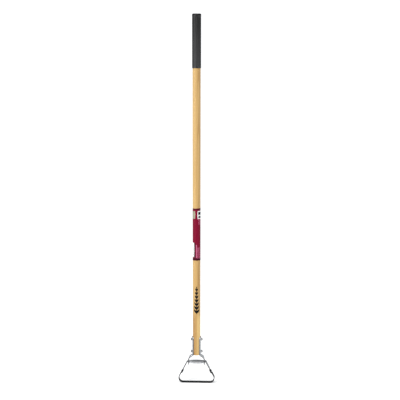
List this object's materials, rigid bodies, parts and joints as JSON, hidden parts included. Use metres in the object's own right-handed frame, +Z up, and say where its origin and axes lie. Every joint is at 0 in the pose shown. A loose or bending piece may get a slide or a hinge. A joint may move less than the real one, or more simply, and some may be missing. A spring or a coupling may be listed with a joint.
{
  "type": "stirrup hoe",
  "caption": "Stirrup hoe with a long wooden handle, fluted rubber grip, printed label sleeve and a rocking stirrup head with a black two-edged blade.",
  "frame": {"origin": "middle of the blade's flat sole, on the handle's axis", "axes": "+Z up the handle, +X along the cutting edges, Y the way the hoe is pushed and pulled"},
  "size_m": [0.146, 0.043, 1.4886],
  "materials": {
    "lacquered_wood": "clear gloss lacquer",
    "grip_rubber": "satin black",
    "label_film": "gloss printed film, burgundy",
    "zinc_steel": "bright zinc plate",
    "frame_steel": "bright zinc plate",
    "fastener_steel": "dull zinc plate",
    "rivet_steel": "plain steel",
    "black_steel": "black, satin"
  },
  "bodies": {
    "shaft": {"handle": "lacquered_wood", "grip": "grip_rubber", "label": "label_film", "strap_left": "zinc_steel", "strap_right": "zinc_steel", "upper_bolt": "fastener_steel", "upper_nut": "fastener_steel", "lower_bolt": "fastener_steel", "lower_nut": "fastener_steel"},
    "stirrup": {"stirrup_frame": "frame_steel", "blade": "black_steel", "rivet_left": "rivet_steel", "rivet_right": "rivet_steel"}
  },
  "joints": [
    {"name": "stirrup_swing", "type": "hinge", "parent": "shaft", "child": "stirrup", "pos_m": [0, 0, 0.087], "axis": [1, 0, 0], "range_deg": [-12, 12]}
  ]
}
